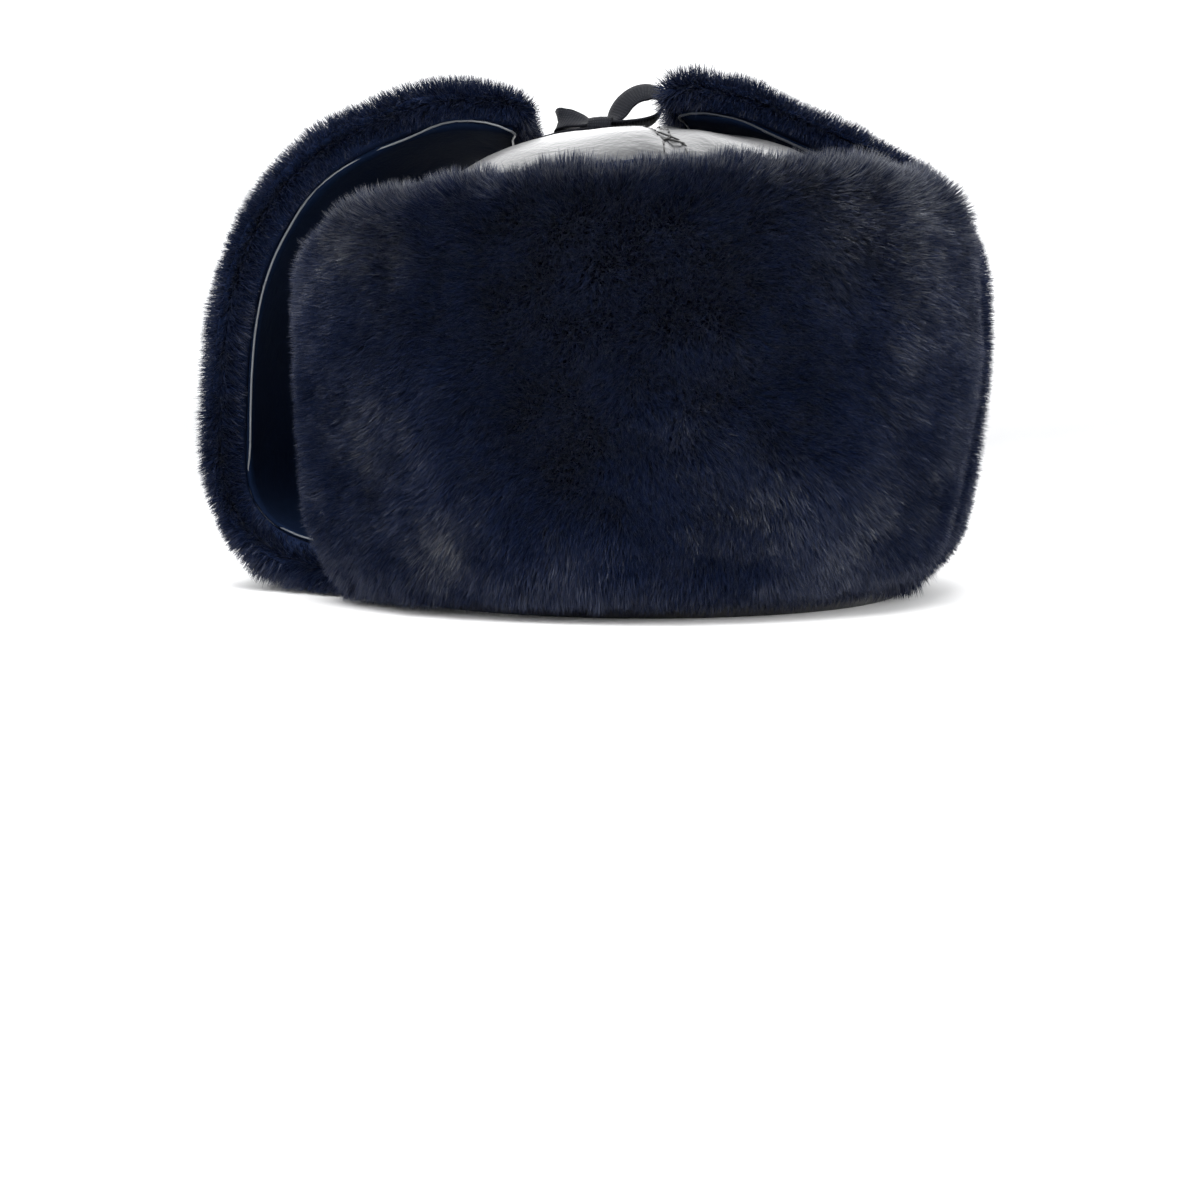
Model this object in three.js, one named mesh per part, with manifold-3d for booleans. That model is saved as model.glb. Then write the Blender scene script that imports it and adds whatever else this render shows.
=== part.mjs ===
// An ushanka, a winter hat with a padded leather crown, a plush flap turned up over the forehead and two
// plush ear flaps turned up round the sides and back. The tips of the ear flaps bend over the crown, where
// two tapes are tied in a bow. The right ear flap stands well away from the crown and the left one hugs it.
// Millimetres. +Z is up, the hat faces -Y, and the wearer's right is -X. The origin is the centre of the
// head opening, in the plane that the hat rests on.
import * as THREE from "three";
import { mergeVertices } from "three/addons/utils/BufferGeometryUtils.js";
import Module from "manifold-3d";

const wasm = await Module();
wasm.setup();

// The crown: a hollow cap of four panels.
const headWidth = 164;
const headLength = 202;
const crownHeight = 141;
const crownWall = 3;
const crownPanels = 4;
const crownTurn = 7;
const seamDepth = 1.2;

// The flaps: backing and pile together, and the leather on their inner faces.
const pileThickness = 14;
const facingThickness = 1.2;
const settle = 1;
const flatten = 2.2;
const seamGap = 0.3;
const lockHeight = 1.2;
const lockStep = 1.8;

// The front flap.
const frontLength = 102;
const frontHalfAngle = 56;
const frontStandOff = 12;
const frontRightStandOff = 16.5;
const frontLeftStandOff = 12.5;
const frontCorner = 20;
const frontRise = 2;
const frontDip = 5;

// The ear flaps, which meet at the centre back.
const rightLength = 227;
const leftLength = 190;
const neckLength = 104;
const earShare = 0.28;
const neckShare = 0.6;
const earCorner = 9;
const rimStartAngle = 59;
const shelfLength = 46;
const rightEdgeAngle = 76;
const leftEdgeAngle = 66;
const rightStandOff = 42.5;
const leftStandOff = 10;
const neckStandOff = 9.5;

// The tapes and the bow.
const tapeWidth = 9;
const tapeThickness = 0.9;
const knotWidth = 10;
const knotHeight = 7;
const knotX = -13.5;
const knotY = -4;
const knotLift = 6.5;
const loopReach = 20;
const loopRise = 12.5;
const tieDrop = 0.8;
const tieGap = 0.5;
const tieBend = 2.5;
const tipGap = 2.6;
const tieLevel = 0.25;
const tailLength = 44;
const tapeRest = 1.4;

// The crown's outline, from its rim to its top: reach is a share of the rim's half size, height of crownHeight.
const crownOutline = [
  { reach: 1.0, height: 0.0 },
  { reach: 1.0, height: 0.1 },
  { reach: 1.012, height: 0.25 },
  { reach: 1.01, height: 0.45 },
  { reach: 0.985, height: 0.61 },
  { reach: 0.935, height: 0.735 },
  { reach: 0.85, height: 0.83 },
  { reach: 0.7, height: 0.9 },
  { reach: 0.5, height: 0.95 },
  { reach: 0.25, height: 0.985 },
  { reach: 0.0, height: 1.0 },
];

// The course of a turned-up flap's inner face, from the rim to its free end: out is a share of how far the
// flap stands off the crown, inward of the crown's half width, and up of crownHeight. Pile is the share of
// the pile's full thickness that the flap has there.
const rightCourse = [
  { out: 0.0, inward: 0.0, up: 0.0, pile: 1 },
  { out: 0.22, inward: 0.0, up: 0.0, pile: 1 },
  { out: 0.54, inward: 0.0, up: 0.017, pile: 1 },
  { out: 0.84, inward: 0.0, up: 0.053, pile: 1 },
  { out: 1.0, inward: 0.0, up: 0.115, pile: 1 },
  { out: 1.0, inward: 0.0, up: 0.246, pile: 1 },
  { out: 0.95, inward: 0.0, up: 0.458, pile: 1 },
  { out: 0.86, inward: 0.0, up: 0.59, pile: 1 },
  { out: 0.67, inward: 0.0, up: 0.715, pile: 1 },
  { out: 0.35, inward: 0.0, up: 0.835, pile: 1 },
  { out: 0.0, inward: 0.075, up: 0.91, pile: 1 },
  { out: 0.0, inward: 0.31, up: 0.957, pile: 1 },
  { out: 0.0, inward: 0.46, up: 0.94, pile: 0.84 },
  { out: 0.0, inward: 0.8, up: 0.89, pile: 0.45 },
];
const leftCourse = [
  { out: 0.0, inward: 0.0, up: 0.0, pile: 1 },
  { out: 0.14, inward: 0.0, up: 0.0, pile: 1 },
  { out: 0.32, inward: 0.0, up: 0.016, pile: 1 },
  { out: 0.46, inward: 0.0, up: 0.05, pile: 1 },
  { out: 0.56, inward: 0.0, up: 0.1, pile: 1 },
  { out: 0.8, inward: 0.0, up: 0.25, pile: 1 },
  { out: 1.0, inward: 0.0, up: 0.44, pile: 1 },
  { out: 0.82, inward: 0.0, up: 0.585, pile: 0.95 },
  { out: 0.4, inward: 0.0, up: 0.685, pile: 0.85 },
  { out: 0.0, inward: 0.035, up: 0.752, pile: 0.75 },
  { out: 0.0, inward: 0.18, up: 0.805, pile: 0.7 },
  { out: 0.0, inward: 0.38, up: 0.853, pile: 0.66 },
  { out: 0.0, inward: 0.64, up: 0.92, pile: 0.86 },
  { out: 0.0, inward: 0.98, up: 0.92, pile: 0.3 },
];
const frontRightCourse = [
  { out: 0.0, inward: 0.0, up: 0.0, pile: 1 },
  { out: 0.35, inward: 0.0, up: 0.0, pile: 1 },
  { out: 0.62, inward: 0.0, up: 0.014, pile: 1 },
  { out: 0.8, inward: 0.0, up: 0.04, pile: 1 },
  { out: 0.88, inward: 0.0, up: 0.08, pile: 1 },
  { out: 0.9, inward: 0.0, up: 0.18, pile: 1 },
  { out: 0.98, inward: 0.0, up: 0.38, pile: 1 },
  { out: 1.0, inward: 0.0, up: 0.47, pile: 1 },
  { out: 0.85, inward: 0.0, up: 0.58, pile: 1 },
  { out: 0.6, inward: 0.0, up: 0.7, pile: 1 },
];
const frontLeftCourse = [
  { out: 0.0, inward: 0.0, up: 0.0, pile: 1 },
  { out: 0.14, inward: 0.0, up: 0.0, pile: 1 },
  { out: 0.28, inward: 0.0, up: 0.014, pile: 1 },
  { out: 0.38, inward: 0.0, up: 0.04, pile: 1 },
  { out: 0.48, inward: 0.0, up: 0.085, pile: 1 },
  { out: 0.7, inward: 0.0, up: 0.18, pile: 1 },
  { out: 0.97, inward: 0.0, up: 0.36, pile: 1 },
  { out: 1.0, inward: 0.0, up: 0.45, pile: 1 },
  { out: 0.8, inward: 0.0, up: 0.57, pile: 1 },
  { out: 0.4, inward: 0.0, up: 0.7, pile: 1 },
];
const uprightCourse = [
  { out: 0.0, inward: 0.0, up: 0.0, pile: 1 },
  { out: 0.32, inward: 0.0, up: 0.0, pile: 1 },
  { out: 0.65, inward: 0.0, up: 0.018, pile: 1 },
  { out: 0.86, inward: 0.0, up: 0.056, pile: 1 },
  { out: 0.96, inward: 0.0, up: 0.12, pile: 1 },
  { out: 1.0, inward: 0.0, up: 0.26, pile: 1 },
  { out: 1.0, inward: 0.0, up: 0.46, pile: 1 },
  { out: 0.97, inward: 0.0, up: 0.585, pile: 1 },
  { out: 0.88, inward: 0.0, up: 0.7, pile: 1 },
  { out: 0.75, inward: 0.0, up: 0.806, pile: 1 },
  { out: 0.6, inward: 0.0, up: 0.87, pile: 1 },
  { out: 0.45, inward: 0.0, up: 0.93, pile: 1 },
  { out: 0.3, inward: 0.0, up: 0.99, pile: 1 },
  { out: 0.1, inward: 0.0, up: 1.05, pile: 1 },
];

// The bow's loops, from the knot and back to it: right is a share of loopReach to the hat's left side, up of
// loopRise, back of tailLength. Lean and rise turn the tape's rear edge to the right side and up.
const tallLoop = [
  { right: 0.12, up: 0.12, back: 0.0, lean: 0.3, rise: 0.0 },
  { right: 0.27, up: 0.38, back: 0.0, lean: 1.0, rise: 0.3 },
  { right: 0.42, up: 0.7, back: 0.0, lean: 1.0, rise: 0.7 },
  { right: 0.62, up: 0.9, back: 0.0, lean: 0.5, rise: 1.1 },
  { right: 0.84, up: 0.92, back: 0.0, lean: 0.1, rise: 1.1 },
  { right: 0.98, up: 0.72, back: 0.0, lean: -0.1, rise: 0.7 },
  { right: 0.96, up: 0.4, back: 0.0, lean: 0.0, rise: 0.2 },
  { right: 0.78, up: 0.2, back: 0.0, lean: 0.0, rise: 0.0 },
  { right: 0.45, up: 0.13, back: 0.0, lean: 0.0, rise: 0.0 },
  { right: 0.05, up: 0.12, back: 0.0, lean: 0.0, rise: 0.0 },
];
const lowLoop = [
  { right: -0.05, up: 0.14, back: 0.0, lean: 0.0, rise: 0.2 },
  { right: -0.3, up: 0.24, back: 0.0, lean: 0.0, rise: 0.8 },
  { right: -0.52, up: 0.32, back: 0.02, lean: 0.0, rise: 1.2 },
  { right: -0.68, up: 0.34, back: 0.07, lean: 0.0, rise: 1.4 },
  { right: -0.68, up: 0.32, back: 0.13, lean: 0.0, rise: 1.2 },
  { right: -0.5, up: 0.26, back: 0.16, lean: 0.0, rise: 0.8 },
  { right: -0.26, up: 0.16, back: 0.1, lean: 0.0, rise: 0.4 },
  { right: -0.02, up: 0.1, back: 0.02, lean: 0.0, rise: 0.0 },
];

const crownHalfWidth = headWidth / 2 + crownWall;
const crownHalfLength = headLength / 2 + crownWall;
const radians = THREE.MathUtils.degToRad;
const smooth = (value, low, high) => THREE.MathUtils.smoothstep(value, low, high);
const mix = THREE.MathUtils.lerp;

// A closed mesh from points and triangles, with shared points merged and its faces turned outwards.
function closedMesh(points, triangles) {
  const raw = new THREE.BufferGeometry();
  raw.setAttribute("position", new THREE.Float32BufferAttribute(points.flatMap((p) => [p.x, p.y, p.z]), 3));
  raw.setIndex(triangles);
  const merged = mergeVertices(raw, 1e-3);
  const place = merged.attributes.position;
  const corners = [0, 1, 2].map(() => new THREE.Vector3());
  const kept = [];
  let volume = 0;
  for (let i = 0; i < merged.index.count; i += 3) {
    const face = [0, 1, 2].map((c) => merged.index.getX(i + c));
    if (new Set(face).size < 3) continue;
    kept.push(...face);
    face.forEach((v, c) => corners[c].fromBufferAttribute(place, v));
    volume += corners[0].dot(corners[1].clone().cross(corners[2]));
  }
  merged.setIndex(volume < 0 ? kept.reverse() : kept);
  return merged;
}

// A closed sheet between two grids of points of the same size. A wrapped sheet joins its last row to its first.
function thickSheet(front, back, wrapped = false) {
  const rows = front.length;
  const columns = front[0].length;
  const points = [...front.flat(), ...back.flat()];
  const frontAt = (i, k) => (i % rows) * columns + k;
  const backAt = (i, k) => rows * columns + frontAt(i, k);
  const triangles = [];
  const quad = (a, b, c, d) => triangles.push(a, b, c, a, c, d);
  const steps = wrapped ? rows : rows - 1;
  const last = columns - 1;
  for (let i = 0; i < steps; i++) {
    for (let k = 0; k < last; k++) {
      quad(frontAt(i, k), frontAt(i + 1, k), frontAt(i + 1, k + 1), frontAt(i, k + 1));
      quad(backAt(i, k), backAt(i, k + 1), backAt(i + 1, k + 1), backAt(i + 1, k));
    }
    quad(frontAt(i, 0), backAt(i, 0), backAt(i + 1, 0), frontAt(i + 1, 0));
    quad(frontAt(i, last), frontAt(i + 1, last), backAt(i + 1, last), backAt(i, last));
  }
  if (!wrapped) {
    for (let k = 0; k < last; k++) {
      quad(frontAt(0, k), frontAt(0, k + 1), backAt(0, k + 1), backAt(0, k));
      quad(frontAt(steps, k), backAt(steps, k), backAt(steps, k + 1), frontAt(steps, k + 1));
    }
  }
  return closedMesh(points, triangles);
}

// The point of the crown's rim at an angle from the front, and the direction straight out of it.
function rimPoint(angle) {
  const turn = radians(angle);
  return new THREE.Vector3(crownHalfWidth * Math.sin(turn), -crownHalfLength * Math.cos(turn), 0);
}

function rimOutward(angle) {
  const turn = radians(angle);
  return new THREE.Vector3(Math.sin(turn) / crownHalfWidth, -Math.cos(turn) / crownHalfLength, 0).normalize();
}

const outlineCurve = new THREE.CatmullRomCurve3(
  crownOutline.map((row) => new THREE.Vector3(row.reach, row.height, 0)),
  false,
  "centripetal",
);

// A point of the crown's outer face, at a share of the way from its rim to its top, and its outward direction.
function crownAt(angle, share) {
  const outline = outlineCurve.getPoint(share);
  const slope = outlineCurve.getTangent(share);
  const rim = rimPoint(angle);
  const outward = rim.clone().normalize().multiplyScalar(slope.y * crownHeight);
  outward.setZ(-slope.x * rim.length()).normalize();
  return { point: rim.multiplyScalar(outline.x).setZ(outline.y * crownHeight), outward };
}

function crown() {
  const meridians = 36;
  const rings = 11;
  const seamEvery = meridians / crownPanels;
  const outer = [];
  const inner = [];
  for (let i = 0; i < meridians; i++) {
    const angle = crownTurn + (360 * i) / meridians;
    const onSeam = i % seamEvery === 0;
    const outerLine = [];
    const innerLine = [];
    for (let k = 0; k < rings; k++) {
      const share = k / rings;
      const { point, outward } = crownAt(angle, share);
      const groove = onSeam ? seamDepth * smooth(share, 0.3, 0.5) * (1 - smooth(share, 0.9, 1)) : 0;
      point.addScaledVector(outward, -groove);
      outerLine.push(point);
      const under = point.clone().addScaledVector(outward, -crownWall);
      innerLine.push(k === 0 ? under.setZ(0) : under);
    }
    outer.push([...outerLine, new THREE.Vector3(0, 0, crownHeight)]);
    inner.push([...innerLine, new THREE.Vector3(0, 0, crownHeight - crownWall)]);
  }
  return thickSheet(outer, inner, true);
}

// How thick a sheet is near its free edge, as a share of its full thickness, so that the edge is rounded.
function edgeShare(distance, radius) {
  const thinnest = 0.3;
  const short = Math.min(1, Math.max(0, 1 - distance / radius));
  return Math.sqrt(1 - short * short * (1 - thinnest * thinnest));
}

// How much a free end is shortened near a side edge, so that its corner is round.
function cornerCut(distance, radius) {
  const short = Math.max(0, 1 - distance / radius);
  return radius * (1 - Math.sqrt(1 - short * short));
}

// Distances from 0 to a length, closer together at the start and over the rounded edge at the end.
function stations(length, count, rounding, crowding = 0) {
  const reach = length - rounding;
  const even = Array.from({ length: count + 1 }, (_, i) => i / count);
  const spread = even.map((share) => reach * mix(share, share * share, crowding));
  return [...spread, length - rounding * 0.5, length - rounding * 0.15, length];
}

// The course of a flap's inner face at one place, between two tables: each row gives the distance out from
// the crown and the height. It returns a rule from the distance along it.
function courseCurve(tableA, standOffA, tableB, standOffB, share) {
  const row = (table, standOff, i) => {
    const { out, inward, up, pile } = table[i];
    const away = seamGap + out * standOff - inward * crownHalfWidth;
    return new THREE.Vector3(away, pileThickness - settle + up * crownHeight, pile);
  };
  const rows = tableA.map((_, i) => row(tableA, standOffA, i).lerp(row(tableB, standOffB, i), share));
  const curve = new THREE.CatmullRomCurve3(rows, false, "centripetal");
  const length = curve.getLength();
  return (distance) => {
    const at = Math.min(1, distance / length);
    const point = curve.getPointAt(at);
    const along = curve.getTangentAt(at);
    return { out: point.x, up: point.y, pile: point.z, outSlope: along.y, upSlope: -along.x };
  };
}

// Puts a point of a course round the crown: straight out of the rim, but over the crown straight sideways.
function placed(angle, at) {
  const outward = rimOutward(angle);
  const sideways = new THREE.Vector3(Math.sign(angle) || 1, 0, 0);
  const point = rimPoint(angle).addScaledVector(outward, Math.max(0, at.out));
  point.addScaledVector(sideways, Math.min(0, at.out)).setZ(at.up);
  const level = sideways.lerp(outward, smooth(at.out, -12, 6)).normalize();
  const through = level.multiplyScalar(at.outSlope).setZ(at.upSlope).normalize();
  return { point, through, pile: at.pile };
}

// A flap is a rule that gives, at a share of the way along the rim and a distance up its inner face, the place
// of that point and the direction through the flap's thickness.
function frontFlap() {
  const courses = new Map();
  return (across, distance) => {
    if (!courses.has(across)) {
      const sideStandOff = across < 0 ? frontRightStandOff : frontLeftStandOff;
      const standOff = mix(frontStandOff, sideStandOff, across * across);
      const share = (across + 1) / 2;
      courses.set(across, courseCurve(frontRightCourse, standOff, frontLeftCourse, standOff, share));
    }
    return placed(across * frontHalfAngle, courses.get(across)(distance));
  };
}

function earFlap(sign, edgeAngle, table, standOff) {
  const courses = new Map();
  return (across, distance) => {
    if (!courses.has(across)) {
      const share = smooth(across, 0.26, 0.76);
      courses.set(across, courseCurve(table, standOff, uprightCourse, neckStandOff, share));
    }
    const start = mix(rimStartAngle, edgeAngle, smooth(distance, 0, shelfLength));
    return placed(sign * mix(start, 180, across), courses.get(across)(distance));
  };
}

// The length of an ear flap at a share of the way from its front edge to the centre back.
function earCut(fullLength) {
  return (across) => {
    const length = mix(fullLength, neckLength, smooth(across, earShare, neckShare));
    return length - cornerCut(across * earWidth, earCorner);
  };
}

function frontCut(across) {
  const dip = frontDip * (1 - across * across);
  return frontLength + frontRise * across - dip - cornerCut((1 - Math.abs(across)) * frontWidth, frontCorner);
}

// How far the rim runs between two angles.
function rimLength(from, to) {
  const steps = 24;
  let length = 0;
  for (let i = 0; i < steps; i++) {
    const a = rimPoint(mix(from, to, i / steps));
    length += a.distanceTo(rimPoint(mix(from, to, (i + 1) / steps)));
  }
  return length;
}

// A fixed value from 0 to 1 for each pair of whole numbers, without a pattern.
function scatter(i, k) {
  const wave = Math.sin(i * 12.9 + k * 78.2) * 43758.5;
  return wave - Math.floor(wave);
}

// The distances up a flap at which it has points. The last three round its free edge.
function flapRows(length, rowCount) {
  return stations(length, rowCount, pileThickness / 2, 0.35);
}

// The plush of a flap: a rounded slab whose outer face is broken into staggered locks of pile, and whose free
// edge is jagged.
function plush(flap, places, cut, edgeDistance, rowCount) {
  const half = pileThickness / 2;
  const outer = [];
  const inner = [];
  places.forEach((across, i) => {
    const outerLine = [];
    const innerLine = [];
    const step = i % 2 === 0 ? lockStep : 0;
    const side = edgeShare(edgeDistance(across), half);
    const length = cut(across);
    flapRows(length, rowCount).forEach((distance, k) => {
      const onEdge = k > rowCount;
      const { point, through, pile } = flap(across, distance - (onEdge ? step : 0));
      const share = side * edgeShare(length - distance, half);
      const middle = (half * pile * (1 + share)) / 2 + (half * (1 - share)) / 2;
      const depth = ((i + Math.floor(k / 2)) % 2) / 2 + scatter(i, k) / 2;
      const lock = k > 0 ? lockHeight * depth * share : 0;
      const far = point.clone().addScaledVector(through, middle + half * pile * share - lock);
      const near = point.clone().addScaledVector(through, middle - half * pile * share);
      if (k === 0) far.set(near.x, near.y, 0);
      if (far.z < flatten) far.z = 0;
      outerLine.push(far);
      innerLine.push(near);
    });
    outer.push(outerLine);
    inner.push(innerLine);
  });
  return thickSheet(outer, inner);
}

// The leather on the inner face of a flap, a little short of its edges. It has its points where the plush has.
function facing(flap, places, cut, rowCount) {
  const near = [];
  const far = [];
  for (const across of places) {
    const nearLine = [];
    const farLine = [];
    const rows = flapRows(cut(across), rowCount).slice(1, rowCount + 1);
    for (const distance of rows) {
      const { point, through } = flap(across, distance);
      nearLine.push(point.clone().addScaledVector(through, -seamGap));
      farLine.push(point.clone().addScaledVector(through, -seamGap - facingThickness));
    }
    near.push(nearLine);
    far.push(farLine);
  }
  return thickSheet(near, far);
}

const frontWidth = rimLength(0, frontHalfAngle);
const frontRows = 9;
const edgeStations = stations(frontWidth, 10, pileThickness / 2).map((distance) => distance / frontWidth);
const frontPlaces = [...edgeStations.slice(1).map((share) => -share).reverse(), ...edgeStations];
const frontRule = frontFlap();
const frontEdge = (across) => (1 - Math.abs(across)) * frontWidth;

const earWidth = rimLength(leftEdgeAngle, 180);
const earRows = 16;
const backGap = seamGap / 2 / earWidth;
const earPlaces = stations(1, 21, pileThickness / 2 / earWidth)
  .map((share) => Math.min(1 - share, 1 - backGap))
  .reverse();
const earEdge = (across) => across * earWidth;
const rightRule = earFlap(-1, rightEdgeAngle, rightCourse, rightStandOff);
const leftRule = earFlap(1, leftEdgeAngle, leftCourse, leftStandOff);
const earFlaps = [
  { side: "right", rule: rightRule, cut: earCut(rightLength), knotSide: -1 },
  { side: "left", rule: leftRule, cut: earCut(leftLength), knotSide: 1 },
];

// A tape of constant width along points, each with the direction of its width.
function tape(points, widths, count) {
  const path = new THREE.CatmullRomCurve3(points, false, "centripetal");
  const turn = new THREE.CatmullRomCurve3(widths, false, "centripetal");
  const front = [];
  const back = [];
  for (let i = 0; i <= count; i++) {
    const at = path.getPoint(i / count);
    const along = path.getTangent(i / count);
    const wide = turn.getPoint(i / count);
    wide.addScaledVector(along, -wide.dot(along)).normalize();
    const through = along.clone().cross(wide).normalize();
    const corner = (side, face) => {
      const point = at.clone().addScaledVector(wide, (side * tapeWidth) / 2);
      return point.addScaledVector(through, (face * tapeThickness) / 2);
    };
    front.push([corner(-1, 1), corner(1, 1)]);
    back.push([corner(-1, -1), corner(1, -1)]);
  }
  return thickSheet(front, back);
}

const knotPlace = new THREE.Vector3(knotX, knotY, crownHeight + knotLift);

function bowLoop(table) {
  const points = table.map(({ right, up, back }) => {
    const step = new THREE.Vector3(right * loopReach, back * tailLength, up * loopRise);
    return step.add(knotPlace);
  });
  const widths = table.map(({ lean, rise }) => new THREE.Vector3(-lean, 1, rise));
  return tape(points, widths, 14);
}

// An end of the bow, hanging from the knot onto the crown and lying on it towards the back.
function bowEnd(sideways) {
  const points = [knotPlace.clone()];
  for (const share of [0.3, 0.5, 0.75, 1]) {
    const x = knotX + sideways * share * tailLength;
    const y = knotY + share * tailLength;
    points.push(new THREE.Vector3(x, y, crownTopAt(x, y) + mix(knotLift, tapeRest, smooth(share, 0, 0.35))));
  }
  return tape(points, points.map(() => new THREE.Vector3(1, -sideways, 0)), 8);
}

// The height of the crown's outer face over a place.
function crownTopAt(x, y) {
  const reach = Math.hypot(x / crownHalfWidth, y / crownHalfLength);
  const row = crownOutline.findIndex((entry) => entry.reach < reach);
  const low = crownOutline[row - 1];
  const high = crownOutline[row];
  return crownHeight * mix(low.height, high.height, (low.reach - reach) / (low.reach - high.reach));
}

function knot() {
  const points = [];
  const turns = 10;
  for (const end of [-1, -0.7, 0, 0.7, 1]) {
    const size = Math.sqrt(1 - end * end * 0.6);
    for (let i = 0; i < turns; i++) {
      const turn = (2 * Math.PI * i) / turns;
      const y = (tapeWidth / 2 + 1) * size * Math.cos(turn);
      points.push(new THREE.Vector3((end * knotWidth) / 2, y, (knotHeight / 2) * size * Math.sin(turn)));
    }
  }
  return hull(points.map((point) => point.add(knotPlace)));
}

function solidOf(geometry) {
  const bare = new THREE.BufferGeometry().setAttribute("position", geometry.getAttribute("position"));
  const merged = mergeVertices(bare.setIndex(geometry.index), 1e-3);
  const mesh = { numProp: 3, vertProperties: merged.attributes.position.array };
  return new wasm.Manifold(new wasm.Mesh({ ...mesh, triVerts: new Uint32Array(merged.index.array) }));
}

function geometryOf(solid) {
  const mesh = solid.getMesh();
  const geometry = new THREE.BufferGeometry();
  geometry.setAttribute("position", new THREE.Float32BufferAttribute(mesh.vertProperties, 3));
  return geometry.setIndex(new THREE.Uint32BufferAttribute(mesh.triVerts, 1));
}

function hull(points) {
  return geometryOf(wasm.Manifold.hull(points.map((point) => point.toArray())));
}

function bow() {
  const pieces = [knot(), bowLoop(tallLoop), bowLoop(lowLoop), bowEnd(-0.25), bowEnd(0.2)];
  return geometryOf(wasm.Manifold.union(pieces.map(solidOf)));
}

// The place along the rim where the tip of an ear flap is level with the knot, found by halving.
function besideKnot(rule, cut) {
  let low = 0;
  let high = earShare;
  for (let i = 0; i < 20; i++) {
    const middle = (low + high) / 2;
    if (rule(middle, cut(middle)).point.y < knotY) low = middle;
    else high = middle;
  }
  return low;
}

// The tape from an ear flap's tip straight across to the side of the knot.
function tie(rule, cut, knotSide) {
  const across = besideKnot(rule, cut);
  const tip = rule(across, cut(across));
  const before = rule(across, cut(across) - 1);
  const along = tip.point.clone().sub(before.point).normalize();
  const start = tip.point.clone().addScaledVector(tip.through, pileThickness * tip.pile * tieLevel);
  start.addScaledVector(along, tipGap);
  const level = new THREE.Vector3(knotSide, 0, 0);
  start.y = knotY;
  const end = knotPlace.clone().addScaledVector(level, knotWidth / 2 + tieGap);
  end.z -= tieDrop;
  const points = [start, start.clone().addScaledVector(level, -tieBend)];
  points.push(end.clone().addScaledVector(level, tieBend), end);
  const widths = points.map(() => new THREE.Vector3(0, 1, 0));
  return tape(points, widths, 6);
}

const group = new THREE.Group();

function add(name, geometry, color, roughness) {
  const material = new THREE.MeshStandardMaterial({ color, roughness, metalness: 0 });
  const mesh = new THREE.Mesh(geometry, material);
  mesh.name = name;
  group.add(mesh);
}

const leatherColor = 0x17181b;
const pileColor = 0x10141f;
const tapeColor = 0x1b1c1e;

add("crown", crown(), leatherColor, 0.35);
add("front_flap", plush(frontRule, frontPlaces, frontCut, frontEdge, frontRows), pileColor, 0.9);
add("front_facing", facing(frontRule, frontPlaces.slice(3, -3), frontCut, frontRows), leatherColor, 0.4);
for (const { side, rule, cut, knotSide } of earFlaps) {
  add(`ear_flap_${side}`, plush(rule, earPlaces, cut, earEdge, earRows), pileColor, 0.9);
  add(`ear_facing_${side}`, facing(rule, earPlaces.slice(3), cut, earRows), leatherColor, 0.4);
  add(`tie_${side}`, tie(rule, cut, knotSide), tapeColor, 0.6);
}
add("bow", bow(), tapeColor, 0.6);

export default group;
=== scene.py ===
# %% [markdown]
# # An ushanka in leather and plush
# The hat has a padded leather crown, a plush flap turned up over the forehead, and two plush ear flaps that
# are turned up round the sides and tied with a bow on top. The solids of all of these come ready made, at
# their real size. This lesson dresses them: leather with seams and stitches, a deep pile, woven tape.
# All sizes are in metres. +Z is up, the hat faces -Y, and +X is the wearer's left.

# %% Load the solids
import math
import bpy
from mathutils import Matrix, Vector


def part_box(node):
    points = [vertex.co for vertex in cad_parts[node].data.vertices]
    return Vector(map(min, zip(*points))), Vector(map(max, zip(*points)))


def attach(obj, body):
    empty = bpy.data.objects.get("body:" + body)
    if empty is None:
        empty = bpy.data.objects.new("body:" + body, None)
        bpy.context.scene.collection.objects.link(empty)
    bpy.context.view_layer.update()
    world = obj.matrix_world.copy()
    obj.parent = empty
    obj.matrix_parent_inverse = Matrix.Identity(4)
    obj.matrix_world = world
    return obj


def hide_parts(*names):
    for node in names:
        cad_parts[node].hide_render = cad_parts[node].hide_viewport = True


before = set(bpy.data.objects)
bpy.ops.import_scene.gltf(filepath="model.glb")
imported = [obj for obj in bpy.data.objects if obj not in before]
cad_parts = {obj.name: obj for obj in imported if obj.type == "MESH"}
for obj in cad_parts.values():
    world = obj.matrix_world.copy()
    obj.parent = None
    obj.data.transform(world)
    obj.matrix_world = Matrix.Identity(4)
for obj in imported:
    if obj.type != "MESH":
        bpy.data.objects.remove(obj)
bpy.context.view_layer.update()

from types import SimpleNamespace

import bpy
import numpy as np
from mathutils import Euler, Vector
from mathutils.bvhtree import BVHTree

MM = 0.001
root_body = "root"
print("solids:", sorted(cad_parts))

# %% [markdown]
# ## The camera
# The picture was taken from just in front of the hat and a little above the surface that it rests on. A wide
# lens, close by, makes the front flap look large against the crown, so the camera comes first: every later
# choice is judged through it.

# %% Camera
camera_place = Vector((0.0, -0.375, 0.033))
camera_pitch = math.radians(-5.97)
camera_turn = math.radians(2.08)

camera_data = bpy.data.cameras.new("camera")
camera_data.sensor_width = 36.0
camera_data.lens = 33.0
camera_data.clip_start = 0.01
camera = bpy.data.objects.new("camera", camera_data)
camera.location = camera_place
camera.rotation_euler = Euler((math.radians(90) + camera_pitch, 0, camera_turn))
bpy.context.scene.collection.objects.link(camera)
bpy.context.scene.camera = camera
print("camera at", tuple(camera_place))
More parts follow.
